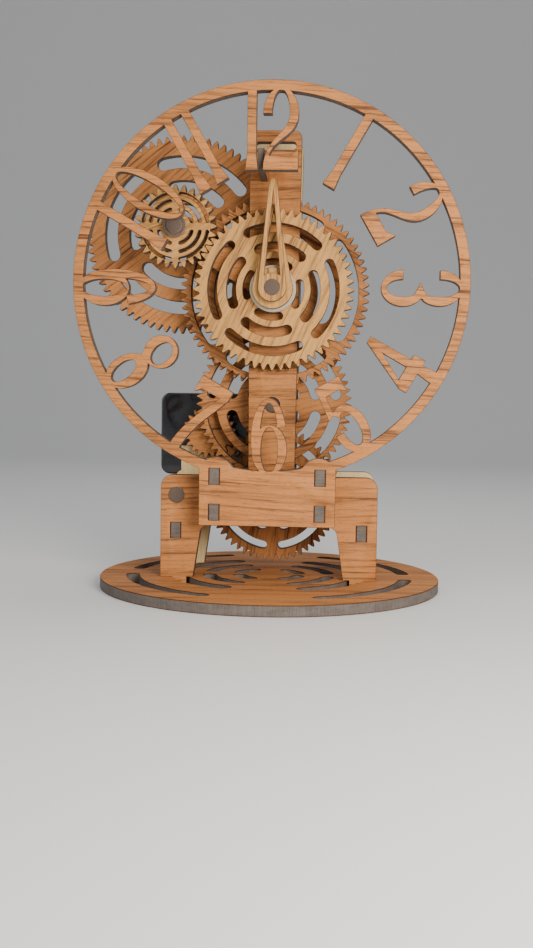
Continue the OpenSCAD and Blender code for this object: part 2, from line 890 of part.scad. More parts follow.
module minute_wheel() {
  color(walnut)
    wheel(hand_axis, minute_y, minute_teeth, train_module, minute_turn, dowel_d,
          [[12, 22.5], [27, 38], [44, 52.5]], 9, 47);
}

module cannon_pinion() {
  color(walnut)
    pinion(hand_axis, back_y, cannon_teeth, motion_module, cannon_turn, dowel_d);
}

// The discs that hold a wheel away from the plates, given as pairs of depths
module spacers(p, spans) {
  color(oak)
    for (s = spans)
      ring(p, s[0], s[1], spacer_d, dowel_d);
}

module minute_spacers() {
  spacers(hand_axis, [[column_back + washer_gap, minute_y],
                      [minute_y + sheet_t, back_y],
                      [back_y + sheet_t, rear_y - washer_gap]]);
}

module collar(p) {
  color(oak)
    ring(p, collar_y, collar_y + collar_t, spacer_d, dowel_d);
}

module minute_collar() {
  collar(hand_axis);
}

// ---------- hour wheel on its sleeve ----------

module hour_wheel() {
  color(blond)
    wheel(hand_axis, hour_y, hour_teeth, motion_module, hour_turn, 2 * sleeve_r,
          [[14.2, 18.8], [22.9, 28.8], [34.6, 40.4]], 7.4, 35);
}

module hour_sleeve() {
  color(ivory)
    ring(hand_axis, hour_hand_y - 0.6, hour_y + sheet_t, 2 * sleeve_r, 2 * sleeve_bore_r);
}

module hour_spacer() {
  color(ivory)
    ring(hand_axis, spacer_y, hour_y, hour_spacer_d, 2 * sleeve_r);
}

// ---------- motion arbor ----------

module motion_arbor() {
  color(oak)
    rod(motion_axis, hour_y - collar_t - 1.4, arbor_end, dowel_d);
}

module motion_wheel() {
  color(walnut)
    wheel(motion_axis, back_y, motion_teeth, motion_module, motion_turn, dowel_d,
          [[12, 20], [27, 34.6], [42.4, 50.4]], 9.5, 27);
}

module small_motion_wheel() {
  color(blond)
    wheel(motion_axis, hour_y, small_motion_teeth, motion_module, small_motion_turn, dowel_d,
          [[9.4, 11.6], [14.3, 16.5], [18.9, 21]], 4.2, 0);
}

module motion_spacers() {
  spacers(motion_axis, [[hour_y + sheet_t, column_y - washer_gap],
                        [column_back + washer_gap, back_y],
                        [back_y + sheet_t, rear_y - washer_gap]]);
}

module motion_collars() {
  color(oak) {
    ring(motion_axis, hour_y - collar_t, hour_y, spacer_d - 2, dowel_d);
    ring(motion_axis, collar_y, collar_y + collar_t, spacer_d, dowel_d);
  }
}

// ---------- lower arbor ----------

module lower_arbor() {
  color(oak)
    rod(lower_axis, column_y + arbor_recess, arbor_end, dowel_d);
}

module lower_wheel() {
  color(walnut)
    wheel(lower_axis, lower_y, lower_teeth, train_module, lower_turn, dowel_d,
          [[12, 18], [24, 31], [36.6, 43.4]], 7.4, 0);
}

module lower_pinion() {
  color(walnut)
    pinion(lower_axis, minute_y, lower_pinion_teeth, train_module, lower_pinion_turn, dowel_d);
}

module lower_spacers() {
  spacers(lower_axis, [[column_back + washer_gap, minute_y],
                       [minute_y + sheet_t, lower_y],
                       [lower_y + sheet_t, rear_y - washer_gap]]);
}

module lower_collar() {
  collar(lower_axis);
}

// ---------- bottom arbor ----------

module bottom_arbor() {
  color(oak)
    rod(bottom_axis, column_y + arbor_recess, arbor_end, dowel_d);
}

module bottom_wheel() {
  color(walnut)
    wheel(bottom_axis, back_y, bottom_teeth, bottom_module, bottom_turn, dowel_d,
          [[17.6, 24.4], [31.4, 36.4]], 7, 0);
}

module bottom_pinion() {
  color(walnut)
    pinion(bottom_axis, lower_y, bottom_pinion_teeth, train_module, bottom_pinion_turn, dowel_d);
}

module bottom_spacers() {
  spacers(bottom_axis, [[column_back + washer_gap, lower_y],
                        [lower_y + sheet_t, back_y],
                        [back_y + sheet_t, rear_y - washer_gap]]);
}

module bottom_collar() {
  collar(bottom_axis);
}

// ---------- motor ----------

module motor_housing() {
  wall = housing_wall;
  color(black)
    difference() {
      front_sheet(rear_back, housing_d)
        round_box(housing_mid, housing_w, housing_h, housing_r);
      front_sheet(rear_back + wall, housing_d)
        round_box(housing_mid, housing_w - 2 * wall, housing_h - 2 * wall, housing_r - wall / 2);
      rod(motor_axis, rear_back - 1, rear_back + wall + 1, shaft_hole_d);
      for (x = [housing_x0 + screw_inset, -housing_x - screw_inset])
        rod([x, screw_z], rear_back - 1, rear_back + wall + 1, screw_d);
    }
}

module motor_cover() {
  color(black)
    front_sheet(rear_back + housing_d, cover_t)
      round_box(housing_mid, housing_w, housing_h, housing_r);
}

module motor_can() {
  color(steel)
    difference() {
      rod(motor_axis, rear_back + housing_wall, rear_back + housing_wall + motor_l, motor_d);
      rod(motor_axis, rear_back, rear_back + housing_wall + 8, motor_shaft_d + 2 * run_clear);
    }
}

module battery_cell() {
  color(ivory)
    translate([-housing_x - housing_w / 2 - cell_l / 2, rear_back + housing_d / 2, cell_z])
      rotate([0, 90, 0])
        cylinder(h = cell_l, d = cell_d);
}

module motor_screws() {
  color(steel)
    for (x = [housing_x0 + screw_inset, -housing_x - screw_inset]) {
      rod([x, screw_z], rear_y - 0.01, rear_y - 0.01 + screw_l, screw_d);
      rod([x, screw_z], rear_y - 2, rear_y, 2 * screw_d);
    }
}

module motor_shaft() {
  color(steel)
    rod(motor_axis, back_y, rear_back + housing_wall + 7, motor_shaft_d);
}

module motor_pinion() {
  color(walnut)
    pinion(motor_axis, back_y, motor_pinion_teeth, bottom_module, motor_turn, motor_shaft_d);
}

base_disc();
stand_front();
rear_frame();
leg_rail_left();
leg_rail_right();
dial_rail_left();
dial_rail_right();
dial_plate();
column_front();
top_spacer();
dial_stay();
leg_peg();
motor_housing();
motor_cover();
motor_can();
battery_cell();
motor_screws();
motor_shaft();
motor_pinion();
minute_arbor();
minute_wheel();
cannon_pinion();
minute_hand();
minute_spacers();
minute_collar();
hour_wheel();
hour_sleeve();
hour_spacer();
hour_hand();
motion_arbor();
motion_wheel();
small_motion_wheel();
motion_spacers();
motion_collars();
lower_arbor();
lower_wheel();
lower_pinion();
lower_spacers();
lower_collar();
bottom_arbor();
bottom_wheel();
bottom_pinion();
bottom_spacers();
bottom_collar();
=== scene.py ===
"""Looks of a laser-cut wooden gear clock, laid out as an add-on and run as a script."""
import json
import math

import bmesh
import bpy
from bpy.props import FloatProperty, FloatVectorProperty, PointerProperty
from mathutils import Matrix, Vector


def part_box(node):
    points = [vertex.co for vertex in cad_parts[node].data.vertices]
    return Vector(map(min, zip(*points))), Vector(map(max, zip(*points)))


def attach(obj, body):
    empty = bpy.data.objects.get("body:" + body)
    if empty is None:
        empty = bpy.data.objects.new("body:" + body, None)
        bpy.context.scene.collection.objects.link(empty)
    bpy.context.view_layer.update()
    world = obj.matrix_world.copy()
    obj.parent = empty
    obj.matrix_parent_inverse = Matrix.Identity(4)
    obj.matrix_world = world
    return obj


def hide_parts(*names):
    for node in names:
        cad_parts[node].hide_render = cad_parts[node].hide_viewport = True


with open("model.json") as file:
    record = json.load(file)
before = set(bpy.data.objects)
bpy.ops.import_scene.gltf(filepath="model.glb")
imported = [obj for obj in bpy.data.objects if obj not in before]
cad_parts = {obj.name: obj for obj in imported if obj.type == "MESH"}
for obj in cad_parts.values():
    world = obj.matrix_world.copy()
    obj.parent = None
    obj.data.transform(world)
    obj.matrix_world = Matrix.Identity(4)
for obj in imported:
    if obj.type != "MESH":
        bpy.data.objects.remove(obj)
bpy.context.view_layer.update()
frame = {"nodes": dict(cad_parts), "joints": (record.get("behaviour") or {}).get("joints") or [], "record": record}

bl_info = {
    "name": "Wooden gear clock",
    "version": (1, 0, 0),
    "blender": (4, 5, 0),
    "location": "3D View > Sidebar > Gear Clock",
    "description": "Finishes the sheets, dowels, motor box and stage of a wooden gear clock",
    "category": "Object",
}

NODES = frame["nodes"]
# Degrees that the grain of each wheel is turned by, so that no two neighbours match
WHEEL_GRAIN = {"hour_wheel": 64.0, "small_motion_wheel": 20.0, "minute_wheel": -28.0, "motion_wheel": 38.0,
               "lower_wheel": 12.0, "bottom_wheel": 84.0, "cannon_pinion": 50.0, "lower_pinion": 15.0,
               "bottom_pinion": -35.0, "motor_pinion": 5.0}
# Edges shorter than this are closed up before the corners are broken, in metres
SHORT_EDGE = 0.00016
# The outer outline of the motor box lies within this of its box, in metres
OUTLINE_REACH = 0.0019
# Where the camera stands in metres, and its yaw, pitch and roll in degrees
CAMERA_PLACE = (0.0373, -0.6569, 0.1120)
CAMERA_TURN = (-3.47, 3.76, 0.83)
# Place, aim, diameter and colour of each lamp
KEY_LAMP = ((0.32, -0.62, 0.27), (0.0, 0.0, 0.09), 0.36, (1.0, 0.93, 0.84))
FILL_LAMP = ((-0.95, -0.7, 0.55), (0.0, 0.0, 0.15), 1.1, (0.92, 0.96, 1.0))
TOP_LAMP = ((0.1, 0.35, 1.25), (0.0, 0.05, 0.1), 0.9, (1.0, 0.98, 0.95))
SKY_COLOUR = (0.93, 0.95, 1.0, 1.0)
SKY_STRENGTH = 0.42
BODY_OF = {name: body for body, names in frame["record"]["behaviour"]["bodies"].items() for name in names}
SLOT_OF = {part["node"]: part["material_slot"] for part in frame["record"]["subparts"]}


def axis_of(joint):
    """The place of a joint's axis, in metres."""
    found = [j for j in frame["joints"] if j["name"] == joint]
    if not found:
        raise RuntimeError("the clock has no joint named " + joint)
    return Vector(found[0]["pos_m"])


def tint(name, description, default):
    return FloatVectorProperty(name=name, description=description, default=default,
                               subtype="COLOR", size=3, min=0.0, max=1.0)


def length(name, description, default, low=0.0):
    return FloatProperty(name=name, description=description, default=default, min=low,
                         unit="LENGTH", subtype="DISTANCE")


# ---------------------------------------------------------------- settings

class GearClockWood(bpy.types.PropertyGroup):
    """Colours and cut edges of the wooden pieces."""
    walnut_light: tint("Walnut, light", "Colour between the growth lines of the walnut", (0.530, 0.212, 0.062))
    walnut_dark: tint("Walnut, dark", "Colour of the walnut's growth lines", (0.120, 0.042, 0.015))
    # Painted light: the pale wood of the hands and front wheels is a lighter copy of the walnut, standing in for
    # the key lamp's light falling on them
    lamplit_walnut_light: tint("Lamplit walnut, light", "Colour between the growth lines of the hands and front wheels",
                     (0.620, 0.325, 0.098))
    lamplit_walnut_dark: tint("Lamplit walnut, dark", "Colour of the growth lines of the hands and front wheels",
                    (0.215, 0.090, 0.030))
    maple_light: tint("Back sheet, light", "Colour of the pale sheet of the rear plate", (0.74, 0.56, 0.285))
    maple_dark: tint("Back sheet, dark", "Colour of the growth lines of the rear plate", (0.48, 0.31, 0.13))
    core: tint("Sheet core", "Colour of the fibre core between the veneers", (0.172, 0.154, 0.136))
    burn: tint("Burnt edge", "Colour that the laser leaves on a cut", (0.028, 0.016, 0.011))
    dowel: tint("Dowel", "Colour of the dowels", (0.40, 0.27, 0.17))
    disc: tint("Pale disc", "Colour of the turned disc behind the hour hand", (0.78, 0.68, 0.52))
    edge_round: length("Edge rounding", "Width of the worn corner along a cut", 0.00018)
    burn_width: length("Burn width", "How far the burn shows on the face beside a cut", 0.0009)


class GearClockMotor(bpy.types.PropertyGroup):
    """Finish of the motor box and its screws."""
    plastic: tint("Plastic", "Colour of the motor box", (0.010, 0.010, 0.012))
    steel: tint("Steel", "Colour of the screws and the shaft", (0.56, 0.56, 0.58))
    edge_round: length("Edge rounding", "Radius along the motor box's outer edges", 0.0012)
    head: length("Screw head", "Diameter of a screw's head", 0.0058)
    driver_slot: length("Driver slot", "Width of the cross in a screw's head", 0.0008)


class GearClockStage(bpy.types.PropertyGroup):
    """The floor, the lamps and the camera."""
    floor: tint("Floor", "Colour of the floor", (0.80, 0.795, 0.78))
    key: FloatProperty(name="Key lamp", description="Power of the main lamp", default=6.5, unit="POWER")
    fill: FloatProperty(name="Fill lamp", description="Power of the soft lamp on the other side", default=4.0,
                        unit="POWER")
    lens: FloatProperty(name="Lens", description="Focal length of the camera in millimetres", default=40.47)


def wood():
    return bpy.context.scene.gear_clock_wood


def motor():
    return bpy.context.scene.gear_clock_motor


# ---------------------------------------------------------------- node helpers

def add(tree, kind, links=None, **settings):
    """Adds a node, sets its properties, and fills its inputs with values or links."""
    node = tree.nodes.new(kind)
    for key, value in settings.items():
        setattr(node, key, value)
    for key, value in (links or {}).items():
        socket = node.inputs[key]
        if isinstance(value, bpy.types.NodeSocket):
            tree.links.new(value, socket)
        else:
            socket.default_value = value
    return node


def calc(tree, operation, a, b=0.0, c=0.0, clamp=False):
    return add(tree, "ShaderNodeMath", {0: a, 1: b, 2: c}, operation=operation, use_clamp=clamp).outputs[0]


def blend(tree, factor, a, b, mode="MIX"):
    node = add(tree, "ShaderNodeMix", data_type="RGBA", blend_type=mode)
    for key, value in ((0, factor), (6, a), (7, b)):
        if isinstance(value, bpy.types.NodeSocket):
            tree.links.new(value, node.inputs[key])
        else:
            node.inputs[key].default_value = value
    return node.outputs[2]


def spread(tree, value, low, high, to_low=0.0, to_high=1.0):
    """Maps a value from one range to another, clamped and smooth."""
    return add(tree, "ShaderNodeMapRange", {0: value, 1: low, 2: high, 3: to_low, 4: to_high},
               interpolation_type="SMOOTHSTEP").outputs[0]


def stretched(tree, vector, scale, offset=(0.0, 0.0, 0.0)):
    return add(tree, "ShaderNodeMapping", {"Vector": vector, "Scale": scale, "Location": offset}).outputs[0]


def noise(tree, vector, scale, detail=3.0, rough=0.55, distortion=0.0):
    return add(tree, "ShaderNodeTexNoise", {"Vector": vector, "Scale": scale, "Detail": detail,
                                            "Roughness": rough, "Distortion": distortion}).outputs[0]


def rgba(colour):
    return (colour[0], colour[1], colour[2], 1.0)


def new_group(name, inputs, outputs):
    """An empty shader group with named sockets, given as (name, kind, default)."""
    tree = bpy.data.node_groups.new(name, "ShaderNodeTree")
    for side, sockets in (("INPUT", inputs), ("OUTPUT", outputs)):
        for label, kind, default in sockets:
            socket = tree.interface.new_socket(label, in_out=side, socket_type="NodeSocket" + kind)
            if default is not None:
                socket.default_value = default
    return tree, tree.nodes.new("NodeGroupInput").outputs, tree.nodes.new("NodeGroupOutput").inputs


# ---------------------------------------------------------------- shared effects

def sawn_grain():
    """Flat-sawn figure: broad bands, arches, fine lines and short dark pores."""
    tree, given, made = new_group(
        "Sawn grain",
        [("Grain", "Vector", None), ("Light", "Color", None), ("Dark", "Color", None),
         ("Figure", "Float", 0.6), ("Pores", "Float", 0.6)],
        [("Color", "Color", None), ("Roughness", "Float", None), ("Height", "Float", None)])
    flow = given["Grain"]
    sway = noise(tree, stretched(tree, flow, (9.0, 26.0, 26.0)), 1.0, 2.0)
    across = add(tree, "ShaderNodeSeparateXYZ", {0: flow})
    bent = calc(tree, "ADD", across.outputs[1], calc(tree, "MULTIPLY", sway, 0.020))
    lines = calc(tree, "MULTIPLY_ADD", calc(tree, "SINE", calc(tree, "MULTIPLY", bent, 1650.0)), 0.5, 0.5)
    bands = noise(tree, stretched(tree, flow, (7.0, 120.0, 120.0)), 1.0, 5.0, 0.62, 0.25)
    fine = noise(tree, stretched(tree, flow, (45.0, 1500.0, 1500.0)), 1.0, 3.0, 0.6)
    pores = spread(tree, noise(tree, stretched(tree, flow, (260.0, 3300.0, 3300.0)), 1.0, 1.0), 0.63, 0.72)
    veins = spread(tree, noise(tree, stretched(tree, flow, (16.0, 520.0, 520.0)), 1.0, 4.0, 0.7, 0.2),
                   0.52, 0.70)
    tone = calc(tree, "MULTIPLY_ADD", spread(tree, bands, 0.38, 0.66), 0.34,
                calc(tree, "MULTIPLY", calc(tree, "POWER", lines, 3.0), calc(tree, "MULTIPLY", sway, 0.34)))
    tone = calc(tree, "MULTIPLY_ADD", veins, 0.52, tone)
    tone = calc(tree, "MULTIPLY_ADD", fine, 0.90, calc(tree, "SUBTRACT", tone, 0.50))
    tone = calc(tree, "MULTIPLY", spread(tree, tone, -0.04, 0.74), given["Figure"], clamp=True)
    colour = blend(tree, tone, given["Light"], given["Dark"])
    mark = calc(tree, "MULTIPLY", pores, given["Pores"], clamp=True)
    colour = blend(tree, calc(tree, "MULTIPLY", mark, 0.75), colour, (0.06, 0.03, 0.018, 1.0))
    tree.links.new(colour, made["Color"])
    tree.links.new(calc(tree, "MULTIPLY_ADD", fine, 0.16, calc(tree, "MULTIPLY_ADD", mark, 0.2, 0.50)),
                   made["Roughness"])
    tree.links.new(calc(tree, "SUBTRACT", calc(tree, "MULTIPLY", fine, 0.5), mark), made["Height"])
    return tree


def laser_cut():
    """A cut wall through the sheet: two thin veneers on a fibre core, scorched in fine upright lines."""
    tree, given, made = new_group(
        "Laser cut wall",
        [("Grain", "Vector", None), ("Depth", "Float", 0.5), ("Core", "Color", None),
         ("Veneer", "Color", None), ("Burn", "Color", None), ("Char", "Float", 0.6)],
        [("Color", "Color", None), ("Roughness", "Float", None), ("Height", "Float", None)])
    flow, depth = given["Grain"], given["Depth"]
    ridges = noise(tree, stretched(tree, flow, (1700.0, 1700.0, 90.0)), 1.0, 2.0, 0.6)
    smoke = noise(tree, stretched(tree, flow, (110.0, 110.0, 260.0)), 1.0, 3.0, 0.6)
    middle = calc(tree, "ABSOLUTE", calc(tree, "SUBTRACT", depth, 0.5))
    skin = spread(tree, middle, 0.405, 0.425)
    threads = noise(tree, stretched(tree, flow, (900.0, 900.0, 1500.0)), 1.0, 3.0)
    fibre = blend(tree, spread(tree, threads, 0.3, 0.75), given["Core"], given["Veneer"])
    fibre = blend(tree, 0.72, fibre, given["Core"])
    body = blend(tree, skin, fibre, given["Veneer"])
    scorch = calc(tree, "MULTIPLY_ADD", spread(tree, ridges, 0.35, 0.7), 0.45,
                  spread(tree, smoke, 0.3, 0.75, 0.15, 0.6))
    rim = spread(tree, middle, 0.44, 0.5)
    scorch = calc(tree, "ADD", calc(tree, "MULTIPLY", scorch, given["Char"]),
                  calc(tree, "MULTIPLY", rim, 0.5), clamp=True)
    tree.links.new(blend(tree, scorch, body, given["Burn"]), made["Color"])
    tree.links.new(calc(tree, "MULTIPLY_ADD", scorch, 0.16, 0.62), made["Roughness"])
    tree.links.new(calc(tree, "MULTIPLY", ridges, 0.9), made["Height"])
    return tree


def worn_edge():
    """A mask that is strongest on corners and fades over the faces beside them."""
    tree, given, made = new_group(
        "Edge mask", [("Reach", "Float", 0.0009), ("Softness", "Float", 0.5)],
        [("Mask", "Float", None)])
    turned = add(tree, "ShaderNodeBevel", {"Radius": given["Reach"]}, samples=4)
    plain = add(tree, "ShaderNodeNewGeometry")
    along = add(tree, "ShaderNodeVectorMath", {0: turned.outputs[0], 1: plain.outputs["True Normal"]},
                operation="DOT_PRODUCT")
    tree.links.new(spread(tree, calc(tree, "SUBTRACT", 1.0, along.outputs["Value"]), 0.0, given["Softness"]),
                   made["Mask"])
    return tree


def dust_and_prints():
    """Faint cloudy smudges that roughen a glossy surface."""
    tree, given, made = new_group(
        "Smudges", [("Vector", "Vector", None), ("Amount", "Float", 0.2)], [("Mask", "Float", None)])
    cloud = noise(tree, stretched(tree, given["Vector"], (38.0, 38.0, 38.0)), 1.0, 4.0, 0.6, 0.6)
    tree.links.new(calc(tree, "MULTIPLY", spread(tree, cloud, 0.42, 0.7), given["Amount"]), made["Mask"])
    return tree


GROUPS = {}


def placed(tree, name, links):
    """Places a shared effect in a material with its own values."""
    makers = {"Sawn grain": sawn_grain, "Laser cut wall": laser_cut, "Edge mask": worn_edge,
              "Smudges": dust_and_prints}
    if name not in GROUPS:
        GROUPS[name] = makers[name]()
    node = tree.nodes.new("ShaderNodeGroup")
    node.node_tree = GROUPS[name]
    for key, value in links.items():
        if isinstance(value, bpy.types.NodeSocket):
            tree.links.new(value, node.inputs[key])
        else:
            node.inputs[key].default_value = value
    return node.outputs


def new_material(name, colour):
    """A material with a Principled shader; returns the material, its tree and its shader."""
    material = bpy.data.materials.new(name)
    material.use_nodes = True
    material.diffuse_color = rgba(colour)
    tree = material.node_tree
    return material, tree, tree.nodes["Principled BSDF"]


def join(tree, shader, colour, rough, height=None, strength=0.3, distance=0.0001):
    tree.links.new(colour, shader.inputs["Base Color"])
    tree.links.new(rough, shader.inputs["Roughness"])
    if height is not None:
        bump = add(tree, "ShaderNodeBump", {"Height": height, "Strength": strength, "Distance": distance})
        tree.links.new(bump.outputs[0], shader.inputs["Normal"])


def attribute(tree, name, output):
    return add(tree, "ShaderNodeAttribute", attribute_name=name).outputs[output]


def sheet_wood(name, light, dark, figure, pores, char):
    """Laser-cut sheet: veneer on the faces, scorched core on the cut walls."""
    settings = wood()
    material, tree, shader = new_material(name, light)
    grain = attribute(tree, "grain", "Vector")
    face = placed(tree, "Sawn grain", {"Grain": grain, "Light": rgba(light), "Dark": rgba(dark),
                                       "Figure": figure, "Pores": pores})
    wall = placed(tree, "Laser cut wall", {"Grain": grain, "Depth": attribute(tree, "depth", "Fac"),
                                           "Core": rgba(settings.core), "Veneer": rgba(dark),
                                           "Burn": rgba(settings.burn), "Char": char})
    halo = placed(tree, "Edge mask", {"Reach": settings.burn_width, "Softness": 0.55})["Mask"]
    cut = attribute(tree, "cut", "Fac")
    scorched = blend(tree, calc(tree, "MULTIPLY", halo, 0.72), face["Color"], rgba(settings.burn))
    colour = blend(tree, cut, scorched, wall["Color"])
    rough, height = (
        calc(tree, "ADD", calc(tree, "MULTIPLY", face[name], calc(tree, "SUBTRACT", 1.0, cut)),
             calc(tree, "MULTIPLY", wall[name], cut))
        for name in ("Roughness", "Height"))
    join(tree, shader, colour, rough, height, 0.35, 0.00012)
    shader.inputs["Specular IOR Level"].default_value = 0.20
    return material


def dowel_wood(name, colour, ends):
    """Turned wood: long fibres on the side, growth rings and open pores on the ends."""
    settings = wood()
    material, tree, shader = new_material(name, colour)
    grain = attribute(tree, "grain", "Vector")
    shade = tuple(c * 0.55 for c in colour)
    side = placed(tree, "Sawn grain", {"Grain": grain, "Light": rgba(colour), "Dark": rgba(shade),
                                       "Figure": 0.7, "Pores": 0.5})
    parts = add(tree, "ShaderNodeSeparateXYZ", {0: grain})
    flat = add(tree, "ShaderNodeCombineXYZ", {0: parts.outputs[1], 1: parts.outputs[2], 2: 0.0}).outputs[0]
    off = add(tree, "ShaderNodeVectorMath", {0: flat, 1: (0.0068, 0.0041, 0.0)},
              operation="DISTANCE").outputs["Value"]
    wander = noise(tree, stretched(tree, flat, (260.0, 260.0, 1.0)), 1.0, 2.0)
    rings = calc(tree, "SINE", calc(tree, "MULTIPLY", calc(tree, "MULTIPLY_ADD", wander, 0.0006, off), 6800.0))
    speck = spread(tree, noise(tree, stretched(tree, flat, (3200.0, 3200.0, 1.0)), 1.0, 2.0), 0.35, 0.62)
    tone = calc(tree, "MULTIPLY_ADD", rings, 0.24, calc(tree, "MULTIPLY", speck, 0.62), clamp=True)
    end = blend(tree, tone, tuple(c * 0.30 for c in ends) + (1.0,), rgba(ends))
    cut = attribute(tree, "cut", "Fac")
    halo = placed(tree, "Edge mask", {"Reach": 0.0005, "Softness": 0.6})["Mask"]
    colour_out = blend(tree, cut, side["Color"], end)
    outline = calc(tree, "MULTIPLY", calc(tree, "MULTIPLY", halo, cut), 0.6)
    colour_out = blend(tree, outline, colour_out, rgba(settings.burn))
    rough = calc(tree, "MULTIPLY_ADD", cut, 0.22, side["Roughness"])
    height = calc(tree, "MULTIPLY_ADD", speck, calc(tree, "MULTIPLY", cut, 0.8), side["Height"])
    join(tree, shader, colour_out, rough, height, 0.35, 0.0001)
    shader.inputs["Specular IOR Level"].default_value = 0.20
    return material


def black_plastic():
    settings = motor()
    material, tree, shader = new_material("Black moulding", settings.plastic)
    place = add(tree, "ShaderNodeTexCoord").outputs["Object"]
    smudge = placed(tree, "Smudges", {"Vector": place, "Amount": 0.30})["Mask"]
    wear = placed(tree, "Edge mask", {"Reach": 0.0010, "Softness": 0.5})["Mask"]
    specks = noise(tree, stretched(tree, place, (1400.0,) * 3), 1.0, 1.0)
    dust = calc(tree, "MULTIPLY", spread(tree, specks, 0.68, 0.78), 0.35)
    pale = calc(tree, "ADD", calc(tree, "MULTIPLY", wear, 0.12), calc(tree, "MULTIPLY", dust, 0.25))
    colour = blend(tree, pale,
                   rgba(settings.plastic), (0.16, 0.155, 0.15, 1.0))
    rough = calc(tree, "ADD", calc(tree, "ADD", smudge, dust), 0.10)
    ripple = noise(tree, stretched(tree, place, (90.0,) * 3), 1.0, 1.0)
    join(tree, shader, colour, rough, ripple, 0.10, 0.0002)
    shader.inputs["Coat Weight"].default_value = 0.35
    shader.inputs["Coat Roughness"].default_value = 0.05
    return material


def plain_steel():
    settings = motor()
    material, tree, shader = new_material("Plain steel", settings.steel)
    place = add(tree, "ShaderNodeTexCoord").outputs["Object"]
    lines = noise(tree, stretched(tree, place, (4200.0, 240.0, 4200.0)), 1.0, 2.0)
    wear = placed(tree, "Edge mask", {"Reach": 0.0003, "Softness": 0.5})["Mask"]
    dark = tuple(c * 0.62 for c in settings.steel) + (1.0,)
    shine = calc(tree, "MULTIPLY_ADD", wear, 0.5, calc(tree, "MULTIPLY", lines, 0.6), clamp=True)
    colour = blend(tree, shine, dark, rgba(settings.steel))
    join(tree, shader, colour, calc(tree, "MULTIPLY_ADD", lines, 0.25, 0.24), lines, 0.12, 0.00003)
    shader.inputs["Metallic"].default_value = 1.0
    return material


def cell_sleeve():
    """Battery sleeve: a dark band, a light band and bare metal at both ends."""
    material, tree, shader = new_material("Battery sleeve", (0.62, 0.58, 0.45))
    place = add(tree, "ShaderNodeTexCoord").outputs["Object"]
    low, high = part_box("battery_cell")
    share = spread(tree, add(tree, "ShaderNodeSeparateXYZ", {0: place}).outputs[0], low.x, high.x)
    band = spread(tree, share, 0.76, 0.765)
    ends = calc(tree, "GREATER_THAN", calc(tree, "ABSOLUTE", calc(tree, "SUBTRACT", share, 0.5)), 0.498)
    smudge = placed(tree, "Smudges", {"Vector": place, "Amount": 0.2})["Mask"]
    colour = blend(tree, band, (0.02, 0.02, 0.022, 1.0), (0.62, 0.46, 0.16, 1.0))
    colour = blend(tree, ends, colour, (0.5, 0.5, 0.5, 1.0))
    join(tree, shader, colour, calc(tree, "ADD", smudge, 0.25))
    return material


MADE = {}


def material_for(slot):
    """The finish of one of the record's material slots, made once."""
    settings = wood()
    makers = {
        "walnut_sheet": lambda: sheet_wood("Walnut sheet", settings.walnut_light, settings.walnut_dark,
                                           1.0, 0.85, 0.55),
        # Painted light: the hands and front wheels get a lighter copy of the walnut, for the lamp's light on them
        "blond_sheet": lambda: sheet_wood("Walnut sheet with painted lamplight", settings.lamplit_walnut_light, settings.lamplit_walnut_dark,
                                          1.0, 0.80, 0.55),
        "maple_sheet": lambda: sheet_wood("Maple sheet", settings.maple_light, settings.maple_dark,
                                          0.55, 0.25, 0.45),
        "dowel_wood": lambda: dowel_wood("Dowel", settings.dowel, (0.205, 0.150, 0.118)),
        "pale_disc": lambda: dowel_wood("Pale disc", settings.disc, tuple(settings.disc)),
        "black_plastic": black_plastic,
        "steel": plain_steel,
        "cell_sleeve": cell_sleeve,
    }
    if slot not in MADE:
        if slot not in makers:
            raise RuntimeError("no finish is made for the slot " + slot)
        MADE[slot] = makers[slot]()
    return MADE[slot]


# ---------------------------------------------------------------- making pieces

def joined_copy(node):
    """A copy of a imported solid's surface with its loose triangles joined up, as a bmesh."""
    if node not in NODES:
        raise RuntimeError("the packed clock has no piece named " + node)
    work = bmesh.new()
    work.from_mesh(NODES[node].data)
    bmesh.ops.remove_doubles(work, verts=work.verts, dist=2e-6)
    bmesh.ops.dissolve_degenerate(work, edges=work.edges, dist=1e-6)
    bmesh.ops.dissolve_limit(work, angle_limit=math.radians(0.6), verts=work.verts, edges=work.edges)
    short = [edge for edge in work.edges if edge.calc_length() < SHORT_EDGE and not edge.is_boundary]
    if short:
        bmesh.ops.collapse(work, edges=short, uvs=False)
        bmesh.ops.dissolve_degenerate(work, edges=work.edges, dist=1e-6)
    return work


def break_edges(work, along, width, segments=1):
    """Rounds the corners between the faces square to an axis and the walls beside them."""
    work.normal_update()
    chosen = []
    for edge in work.edges:
        if len(edge.link_faces) == 2:
            tops = sum(abs(face.normal[along]) > 0.9 for face in edge.link_faces)
            if tops == 1 and edge.calc_face_angle(0.0) > math.radians(40):
                chosen.append(edge)
    bmesh.ops.bevel(work, geom=chosen, offset=width, offset_type="OFFSET", segments=segments,
                    profile=0.5, affect="EDGES", clamp_overlap=False)


def finish_piece(work, name, body, slot, replaced, smooth=34.0):
    """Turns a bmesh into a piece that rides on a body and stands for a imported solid."""
    mesh = bpy.data.meshes.new(name)
    work.to_mesh(mesh)
    work.free()
    mesh.polygons.foreach_set("use_smooth", [True] * len(mesh.polygons))
    mesh.set_sharp_from_angle(angle=math.radians(smooth))
    mesh.materials.append(material_for(slot))
    piece = bpy.data.objects.new(name, mesh)
    bpy.context.scene.collection.objects.link(piece)
    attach(piece, body)
    if replaced:
        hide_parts(replaced)
    return piece


